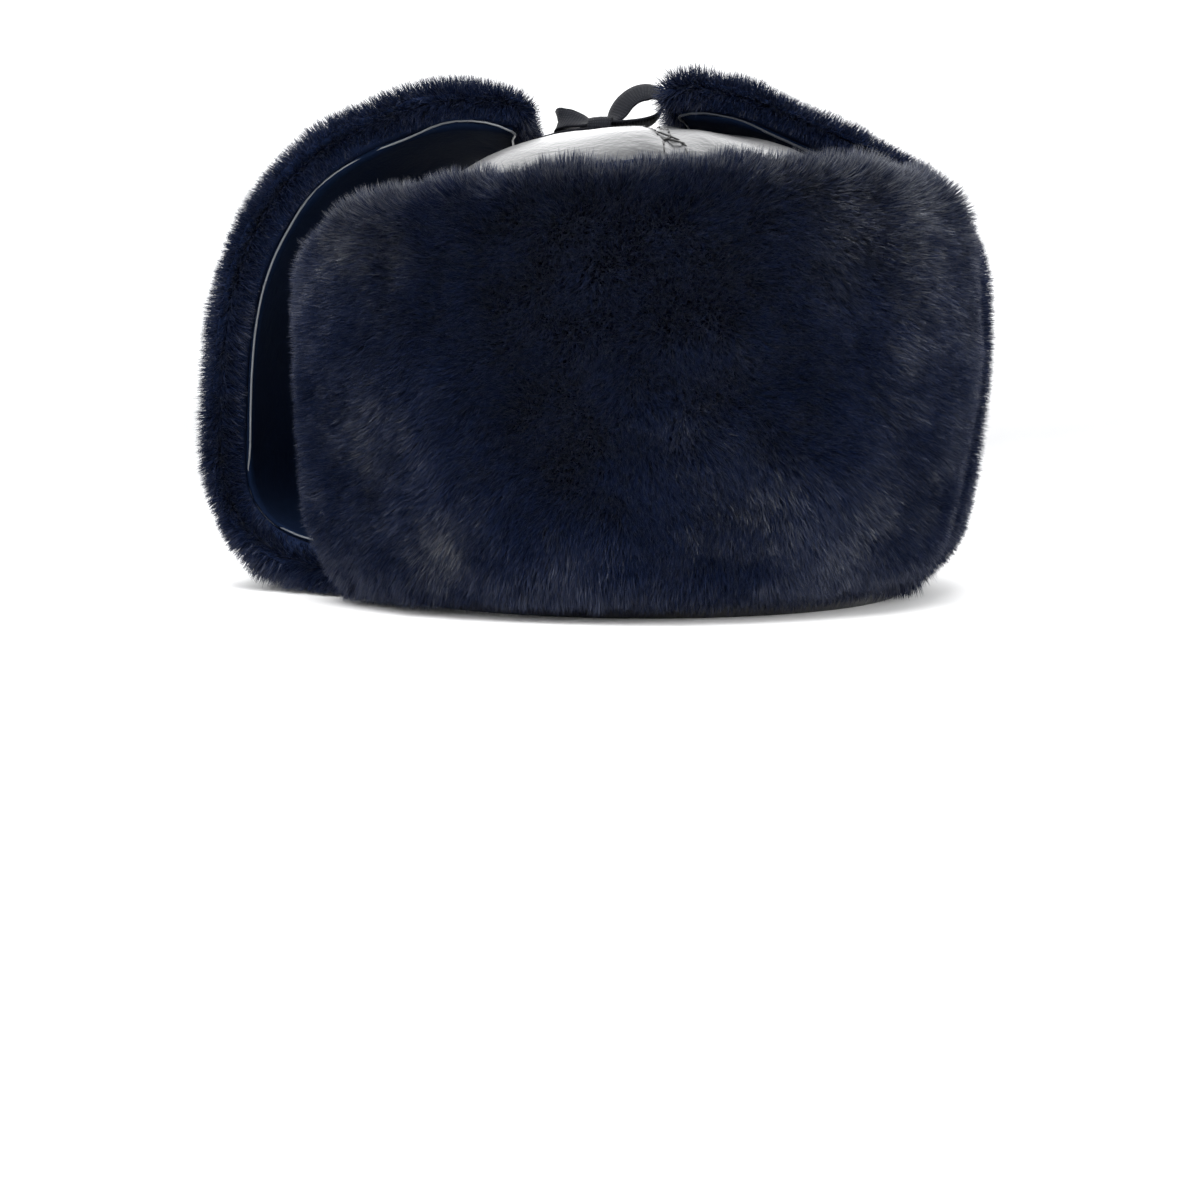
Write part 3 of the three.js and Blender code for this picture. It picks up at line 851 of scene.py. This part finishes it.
# Places on the front flap where the pile lies over: x, z and radius in mm, how far over, and how grey the
# tips are painted there as a painted highlight of the pile's sheen.
nap_and_sheen_spots = [
    (-50, 18, 7, 0.3, 0.4), (-65, 38, 8, 0.2, 0.06), (29, 32, 12, 0.3, 0.12), (44, 22, 12, 0.3, 0.06),
    (62, 34, 15, 0.3, 0.08), (68, 76, 18, 0.3, 0.1), (72, 100, 13, 0.3, 0.45), (-72, 50, 12, 0.2, 0.12),
    (-70, 96, 11, 0.3, 0.35), (8, 48, 6, 0.2, 0.06), (-72, 24, 9, 0.2, 0.02), (52, 104, 14, 0.2, 0.25),
]


def near_to(points, x, z, radius):
    """How near each point is to a place in the front view, as a share. The place is given in mm."""
    return np.exp(-((points[:, 0] - x * MM) ** 2 + (points[:, 2] - z * MM) ** 2) / (radius * MM) ** 2)


def nap_and_sheen_at(flap, skin, out, draw):
    """The way that the pile leans at each spot, how grey its tips are painted as sheen, and the share of the
    upper edge.
    """
    count = len(skin)
    down = np.full(count, down_lean)
    tip_sheen = np.full(count, even_sheen)
    fringe = np.zeros(count)
    if flap == "front":
        # Painted shade: near the floor the tips lose most of their painted grey, so the pile is darker
        # towards the bottom.
        tip_sheen *= 1 - 0.8 * np.exp(-((skin[:, 2] / painted_shade_height) ** 2))
        # Painted highlights: the tips in these places are painted grey where the pile's sheen catches the
        # light.
        for x, z, radius, over, grey in nap_and_sheen_spots:
            near = near_to(skin, x, z, radius)
            down += over * near
            tip_sheen += grey * near
        # Painted highlight: the tips along the upper edge are painted grey where the light from above and
        # behind rims them.
        fringe = smoothstep(out[:, 2], 0.25, 0.8)
        tip_sheen += fringe_sheen * fringe
        down -= down_lean * fringe
    swirl = swirl_lean * vector_waves(skin, swirl_size, 21)
    ruffle = ruffle_lean * vector_waves(skin, ruffle_size, 31)
    nap = np.array([0.0, 0.0, -1.0]) * down[:, None] + swirl + ruffle
    nap += draw.normal(0, stray_lean, (count, 3))
    if flap != "front":
        nap += ear_lean * unit(skin - ear_centre) + draw.normal(0, ear_stray, (count, 3))
    return nap, tip_sheen, fringe


# %% Locks and lengths
lock_size = 2.4 * MM
lock_pull = 0.34
lock_warp = 1.1 * MM
speck_size = 1.1 * MM
# These turn a cell's whole numbers into shares with no pattern.
lock_numbers = np.array([[12.9, 39.3, 73.1], [78.2, 11.7, 45.2], [37.7, 94.6, 27.4]])
speck_numbers = np.array([53.1, 17.9, 91.3])
length_range = (-0.7, 2.6)
# Places on a flap where the hairs are longer: x, z and radius in mm, and by how many reaches.
longer_hair = {"right": [(-131, 8, 12, 1.2)], "left": [(13, 146, 8, 2.0)]}


def shuffled(values):
    """A share from 0 to 1 for each value, always the same one for the same value."""
    mixed = np.sin(values) * 43758.5
    return mixed - np.floor(mixed)


def locks_at(skin):
    """Places bent out of their grid, three shares for each spot's lock, and the lock's middle."""
    warp = skin + lock_warp * vector_waves(skin, 8 * MM, 61)
    cell = np.floor(warp / lock_size)
    mixed = shuffled(cell @ lock_numbers)
    return warp, mixed, skin - warp + (cell + 0.2 + 0.6 * mixed) * lock_size


def lengths_at(flap, skin, mixed, fringe, draw):
    """How long each hair is, in reaches. The upper edge is ragged, but flatter in its middle."""
    stray = draw.normal(0, 0.16, len(skin))
    lengthwise = 1 + 0.22 * waves(skin, 26 * MM, 41) + 0.55 * (mixed[:, 0] - 0.5) + stray
    flattened = 1.1 * np.exp(-(((skin[:, 0] + 6 * MM) / (26 * MM)) ** 2))
    lengthwise += fringe * (0.9 * mixed[:, 2] - 0.35 - flattened + 0.45 * waves(skin, 17 * MM, 71))
    for x, z, radius, longer in longer_hair.get(flap, ()):
        lengthwise += longer * near_to(skin, x, z, radius)
    return np.clip(lengthwise, *length_range)


def tones_at(skin, warp, mixed, tip_sheen, draw):
    """How grey each hair's tip is painted: a painted sheen that varies with the sheen places, locks, specks
    and single hairs.
    """
    speck = shuffled(np.floor((warp + 0.5 * MM * draw.random((len(skin), 1))) / speck_size) @ speck_numbers)
    patchy = np.exp(0.5 * waves(skin, 24 * MM, 51) + 1.4 * (mixed[:, 1] - 0.5) + 2.6 * (speck - 0.6))
    return np.clip(tip_sheen * patchy * draw.exponential(1.0, len(skin)), 0.0, 1.0)


# %% The hairs of a whole flap
bottom_hang = 5 * MM
hang_from = 16 * MM
hang_to = 3 * MM


def settled(rooted, tips, skin, out, mixed, draw):
    """Let the hairs of the lower edge hang, and bend those that reach the floor up and outwards."""
    low = smoothstep(-skin[:, 2], -hang_from, -hang_to)
    hang = low * smoothstep(np.hypot(out[:, 0], out[:, 1]), 0.3, 0.8)
    tips[:, 2] -= bottom_hang * hang * (0.6 + 0.8 * mixed[:, 0])
    under = np.maximum(bottom_gap * (1 + 4 * draw.random(len(skin))) - tips[:, 2], 0)
    tips[:, 2] += under
    tips[:, :2] += out[:, :2] * under[:, None] * 0.25
    rooted[:, 2] = np.maximum(rooted[:, 2], bottom_gap)


def hairs_on(flap, count, seed, front_share):
    """Roots, tips, outward directions and tones of the hairs of a flap."""
    draw = np.random.default_rng(seed)
    form = forms[flap]
    at = spots_on(form, count, draw, front_share)
    skin, out, opened = at(form.co), unit(at(form.outward)), at(form.open_share)
    depth = np.minimum(hair_depth, 0.45 * at(form.room)) * (0.15 + 0.85 * opened)
    rooted = skin - out * depth[:, None]
    nap, tip_sheen, fringe = nap_and_sheen_at(flap, skin, out, draw)
    warp, mixed, centre = locks_at(skin)
    reach = depth + hair_reach * lengths_at(flap, skin, mixed, fringe, draw) * (0.35 + 0.65 * opened)
    lean = aside_from(nap, out)
    tips = rooted + (out + lean) * reach[:, None] / np.sqrt(1 + 0.6 * (lean**2).sum(1, keepdims=True))
    pull = aside_from(centre - skin, out)
    tips += pull * lock_pull * np.clip(reach / (hair_depth + hair_reach), 0, 1)[:, None]
    settled(rooted, tips, skin, out, mixed, draw)
    kept = ~inside_crown(tips, 0.6 * MM) & ~inside_crown(rooted, 0.2 * MM)
    tone = tones_at(skin, warp, mixed, tip_sheen, draw)
    print(f"{flap}: {kept.sum()} of {count} hairs stay clear of the crown")
    return rooted[kept], tips[kept], out[kept], tone[kept]


# %% Build the hairs
ridge_height = 0.7
ridge_stray = 0.4


def blades(name, rooted, tips, out, tone, seed):
    """Each hair as a thin blade of two triangles with a ridge on its outer side, all in one mesh."""
    draw = np.random.default_rng(seed)
    count = len(rooted)
    along = unit(tips - rooted)
    ridge = unit(aside_from(out + ridge_stray * draw.normal(size=(count, 3)), along))
    side = np.cross(along, ridge)
    points = np.empty((count, 4, 3))
    points[:, 0] = rooted + hair_radius * side
    points[:, 1] = rooted + ridge_height * hair_radius * ridge
    points[:, 2] = rooted - hair_radius * side
    points[:, :3, 2] = np.maximum(points[:, :3, 2], bottom_gap / 2)
    points[:, 3] = tips
    corners = 4 * np.arange(count)[:, None, None] + np.array([[1, 0, 3], [2, 1, 3]])
    mesh = bpy.data.meshes.new(name)
    mesh.vertices.add(4 * count)
    mesh.vertices.foreach_set("co", points.ravel())
    mesh.loops.add(6 * count)
    mesh.loops.foreach_set("vertex_index", corners.ravel().astype(np.int32))
    mesh.polygons.add(2 * count)
    mesh.polygons.foreach_set("loop_start", np.arange(0, 6 * count, 3, dtype=np.int32))
    mesh.update(calc_edges=True)
    mesh.validate()
    for label, values in (("tip", np.tile([0.0, 0.0, 0.0, 1.0], count)), ("tone", np.repeat(tone, 4))):
        layer = mesh.attributes.new(label, "FLOAT", "POINT")
        layer.data.foreach_set("value", values.astype(np.float32))
    mesh.shade_smooth()
    return linked(name, mesh)


# %% Grow the pile of each flap
# Flap, part, how many hairs, and how many times denser they stand where the flap faces forwards.
hair_counts = [
    ("front", "a", 97000, 1.7), ("front", "b", 97000, 1.7), ("front", "c", 40000, 2.5),
    ("right", "a", 97000, 1.8), ("left", "a", 97000, 1.6),
]
for number, (flap, part, count, front_share) in enumerate(hair_counts):
    piece = blades(f"pile_{flap}_{part}", *hairs_on(flap, count, 100 + number, front_share), 200 + number)
    finished(piece, pile, "plush")

# %% Sink the backings under the pile
backing_depth = 4.6 * MM

for flap, form in forms.items():
    sink = np.minimum(backing_depth, 0.4 * form.room) * form.open_share
    place_points(form.backing, form.co - form.outward * sink[:, None])
    smooth(form.backing)
    finished(form.backing, backing, "plush", plush_nodes[flap])

# %% [markdown]
# ## Tapes and bow
# A woven tape comes from the tip of each ear flap, and the two are tied in a bow: one loop stands up, one
# lies low, and two short ends lie back over the crown. A tape is a flat strip that is bent and turned but
# never stretched, so it starts as a grid, which has its own map for the weave, and each row of the grid is
# laid across the tape's route.

# %% A strip of tape along a route
tape_width = 9 * MM
tape_thickness = 0.7 * MM
tape_bevel = 0.12 * MM
cup_depth = 0.35 * MM
tape_columns = 4


def through(points, count):
    """Points spaced evenly on a smooth curve through the given ones."""
    points = np.array(points, float)
    ends = np.vstack([2 * points[0] - points[1], points, 2 * points[-1] - points[-2]])
    fine = []
    for p0, p1, p2, p3 in zip(ends, ends[1:], ends[2:], ends[3:]):
        for t in np.linspace(0, 1, 12, endpoint=False):
            bend = 2 * p0 - 5 * p1 + 4 * p2 - p3
            fine.append(p1 + 0.5 * ((p2 - p0) * t + bend * t * t + (3 * (p1 - p2) + p3 - p0) * t**3))
    fine = np.array(fine + [points[-1]])
    run = np.concatenate([[0], np.cumsum(np.linalg.norm(np.diff(fine[:, :3], axis=0), axis=1))])
    even = np.linspace(0, run[-1], count)
    return np.column_stack([np.interp(even, run, fine[:, i]) for i in range(fine.shape[1])]), run[-1]


def strip(name, points, widths, rows, width=tape_width):
    """A tape along points, each with the direction of its width."""
    route, length = through(np.hstack([points, unit(np.array(widths, float))]), rows + 1)
    middle = route[:, :3]
    ahead = unit(np.gradient(middle, axis=0))
    across = unit(aside_from(route[:, 3:], ahead))
    bpy.ops.mesh.primitive_grid_add(x_subdivisions=tape_columns, y_subdivisions=rows, size=1)
    obj = bpy.context.active_object
    obj.name = name
    flat = points_of(obj)
    row = np.rint((flat[:, 1] + 0.5) * rows).astype(int)
    cup = np.cross(across, ahead)[row] * (cup_depth * (4 * flat[:, 0] ** 2 - 1))[:, None]
    place_points(obj, middle[row] + across[row] * (flat[:, 0] * width)[:, None] + cup)
    weave = obj.data.uv_layers[0]
    weave.name = "weave"
    uv = read(weave.data, "uv", 2) * (width, length)
    weave.data.foreach_set("uv", uv.ravel())
    applied(obj, "SOLIDIFY", thickness=tape_thickness, offset=0.0)
    applied(obj, "BEVEL", width=tape_bevel, segments=1, limit_method="ANGLE")
    smooth(obj)
    finished(obj, tape_weave, "tape")
    print(f"{name} is {length / MM:.0f} mm long")
    return obj


# %% The two tapes
tie_boxes = {side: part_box(f"tie_{side}") for side in ("right", "left")}
knot_x = (tie_boxes["right"][1].x + tie_boxes["left"][0].x) / 2
knot_y = (tie_boxes["right"][0].y + tie_boxes["right"][1].y) / 2
knot_lift = 6.5 * MM
knot_place = Vector((knot_x, knot_y, crown_height + knot_lift))
knot_half = Vector((4.6 * MM, 5.2 * MM, 3.3 * MM))
in_fur = 3.5 * MM

for side, outer, inner, sign in (("right", 0, 1, -1), ("left", 1, 0, 1)):
    box = tie_boxes[side]
    low_z = box[0].z + tape_thickness / 2
    high_z = box[1].z - tape_thickness / 2
    far, near = box[outer].x, box[inner].x
    route = [
        (far + sign * in_fur, knot_y, low_z - 0.6 * MM),
        (far, knot_y, low_z),
        (far + (near - far) * 0.5, knot_y, (low_z + high_z) / 2 + 0.4 * MM),
        (near - sign * 1.5 * MM, knot_y, high_z),
    ]
    tie = strip(f"tie_tape_{side}", route, [(0, 1, 0)] * 4, rows=14)
    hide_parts(f"tie_{side}")

# %% The loops and ends of the bow
loop_reach = 20 * MM
loop_rise = 12.5 * MM
tail_length = 44 * MM
# Right and up are shares of the loop's reach and rise, back of the tail's length. The last two turn the
# tape's rear edge to the hat's right side and up.
tall_loop = [
    (0.12, 0.12, 0.0, 0.3, 0.0), (0.27, 0.38, 0.0, 1.0, 0.3), (0.42, 0.7, 0.0, 1.0, 0.7),
    (0.62, 0.9, 0.0, 0.5, 1.1), (0.84, 0.92, 0.0, 0.1, 1.1), (0.98, 0.72, 0.0, -0.1, 0.7),
    (0.96, 0.4, 0.0, 0.0, 0.2), (0.78, 0.2, 0.0, 0.0, 0.0), (0.45, 0.13, 0.0, 0.0, 0.0),
    (0.05, 0.12, 0.0, 0.0, 0.0),
]
low_loop = [
    (-0.05, 0.14, 0.0, 0.0, 0.2), (-0.3, 0.24, 0.0, 0.0, 0.8), (-0.52, 0.32, 0.02, 0.0, 1.2),
    (-0.68, 0.34, 0.07, 0.0, 1.4), (-0.68, 0.32, 0.13, 0.0, 1.2), (-0.5, 0.26, 0.16, 0.0, 0.8),
    (-0.26, 0.16, 0.1, 0.0, 0.4), (-0.02, 0.1, 0.02, 0.0, 0.0),
]


def loop(name, table):
    points = [
        knot_place + Vector((right * loop_reach, back * tail_length, up * loop_rise))
        for right, up, back, _, _ in table
    ]
    widths = [(-lean, 1, rise) for _, _, _, lean, rise in table]
    return strip(name, points, widths, rows=44)


def end(name, aside):
    """A short end that drops from the knot and lies back over the crown."""
    points = [tuple(knot_place)]
    for share in (0.3, 0.5, 0.75, 1.0):
        x = knot_place.x + aside * share * tail_length
        y = knot_place.y + share * tail_length
        place, outward, _, _ = crown_tree.find_nearest(Vector((x, y, crown_height)))
        lift = np.interp(share, (0, 0.35), (knot_lift, 1.0 * MM))
        points.append((x, y, place.z + lift))
    return strip(name, points, [(1, -aside, 0)] * len(points), rows=24)


loop("bow_tall_loop", tall_loop)
loop("bow_low_loop", low_loop)
end("bow_end_right", -0.25)
end("bow_end_left", 0.2)

# %% The knot
band_width = 7.6 * MM
crumple_depth = 0.5 * MM


def knot():
    """A band of tape wrapped round the crossing, over a small core."""
    turns = np.linspace(0, 2 * math.pi, 13)
    points = [
        knot_place + Vector((0.4 * MM * math.sin(t), knot_half.y * math.cos(t), knot_half.z * math.sin(t)))
        for t in turns
    ]
    strip("bow_knot_band", points, [(1, 0.18 * math.cos(t), 0) for t in turns], rows=36, width=band_width)
    bpy.ops.mesh.primitive_uv_sphere_add(segments=20, ring_count=12, radius=1, location=knot_place)
    core = bpy.context.active_object
    core.name = "bow_knot"
    core.scale = knot_half * 0.96
    bpy.ops.object.transform_apply(location=True, scale=True)
    core.data.uv_layers[0].name = "weave"
    push_out(core, crumple_depth * waves(points_of(core), 6 * MM, 61))
    smooth(core)
    return finished(core, tape_weave, "tape", "bow")


knot()

# %% [markdown]
# ## Floor and light
# The hat rests on a pale floor that turns up into a backdrop with no corner, so no horizon shows behind it.
# The light is soft and comes from all round: a broad panel behind the hat makes the backdrop and the crown
# shine, and smaller ones in front and above bring out the pile. Black leather and pile show almost nothing
# but reflections, so what they mirror matters more than how bright the lights are.

# %% Sweep
floor_radius = 3.0
wall_height = 2.6
sweep_radius = 1.6
glow_height = 0.5


def sweep():
    """A floor that turns up into a wall all round, in one rounded piece."""
    bpy.ops.mesh.primitive_circle_add(vertices=64, radius=floor_radius, fill_type="NGON")
    floor = bpy.context.active_object
    floor.name = "floor"
    in_edit(floor, "SELECT")
    bpy.ops.mesh.select_mode(type="EDGE")
    bpy.ops.mesh.region_to_loop()
    bpy.ops.mesh.extrude_edges_move(TRANSFORM_OT_translate={"value": (0, 0, wall_height)})
    bpy.ops.mesh.select_all(action="DESELECT")
    done()
    for edge in floor.data.edges:
        edge.select = all(floor.data.vertices[i].co.z < 0.01 for i in edge.vertices)
    only(floor)
    bpy.ops.object.mode_set(mode="EDIT")
    bpy.ops.mesh.bevel(offset=sweep_radius, segments=14)
    done()
    return smooth(floor)


def paper_material():
    """Pale paper that glows a little where it turns up into the wall."""
    made, tree, shader = material_of(
        "pale paper", Roughness=0.9, Specular_IOR_Level=0.1, Emission_Strength=0.45,
    )
    place = node(tree, "ShaderNodeTexCoord").outputs["Object"]
    height = node(tree, "ShaderNodeSeparateXYZ", Vector=place).outputs["Z"]
    glow = node(tree, "ShaderNodeMapRange", Value=height, From_Min=0.0, From_Max=glow_height)
    tree.links.new(glow.outputs[0], shader.inputs["Emission Color"])
    tree.links.new(mottled(tree, 3.0, 2.0, 0.84, 0.87), shader.inputs["Base Color"])
    return made


floor = sweep()
floor.data.materials.append(paper_material())
print("floor:", floor.name)

# %% Light
world = bpy.data.worlds.new("studio")
world.use_nodes = True
sky = world.node_tree.nodes["Background"]
sky.inputs["Color"].default_value = (0.95, 0.97, 1.0, 1)
sky.inputs["Strength"].default_value = 0.5
bpy.context.scene.world = world


def panel(name, place, aim, width, height, watts):
    """A soft light at a place, turned towards another. The camera doesn't see the light itself."""
    data = bpy.data.lights.new(name, "AREA")
    data.shape = "RECTANGLE"
    data.size = width
    data.size_y = height
    data.energy = watts
    lamp = linked(name, data)
    lamp.location = place
    lamp.rotation_euler = (Vector(aim) - Vector(place)).to_track_quat("-Z", "Y").to_euler()
    lamp.visible_camera = False


# Name, place, the place it is turned to, width, height and watts.
panels_of_light = [
    ("overhead", (-0.1, -0.5, 0.85), (0, -0.08, 0.05), 0.5, 0.5, 9.5),
    ("behind", (0.0, 1.0, 1.05), (0, 0, 0.1), 3.0, 1.5, 32),
    ("front_left", (-0.8, -0.7, 0.4), (0, 0, 0.05), 0.4, 0.4, 1.6),
    ("front_right", (0.85, -0.6, 0.4), (0, 0, 0.06), 0.4, 0.4, 4.5),
    ("front", (0.0, -1.0, 0.35), (0, 0, 0.06), 0.7, 0.5, 3.0),
]
for row in panels_of_light:
    panel(*row)
print("lights:", [row[0] for row in panels_of_light])
bpy.context.scene.view_settings.view_transform = "Standard"
bpy.context.scene.view_settings.look = "None"
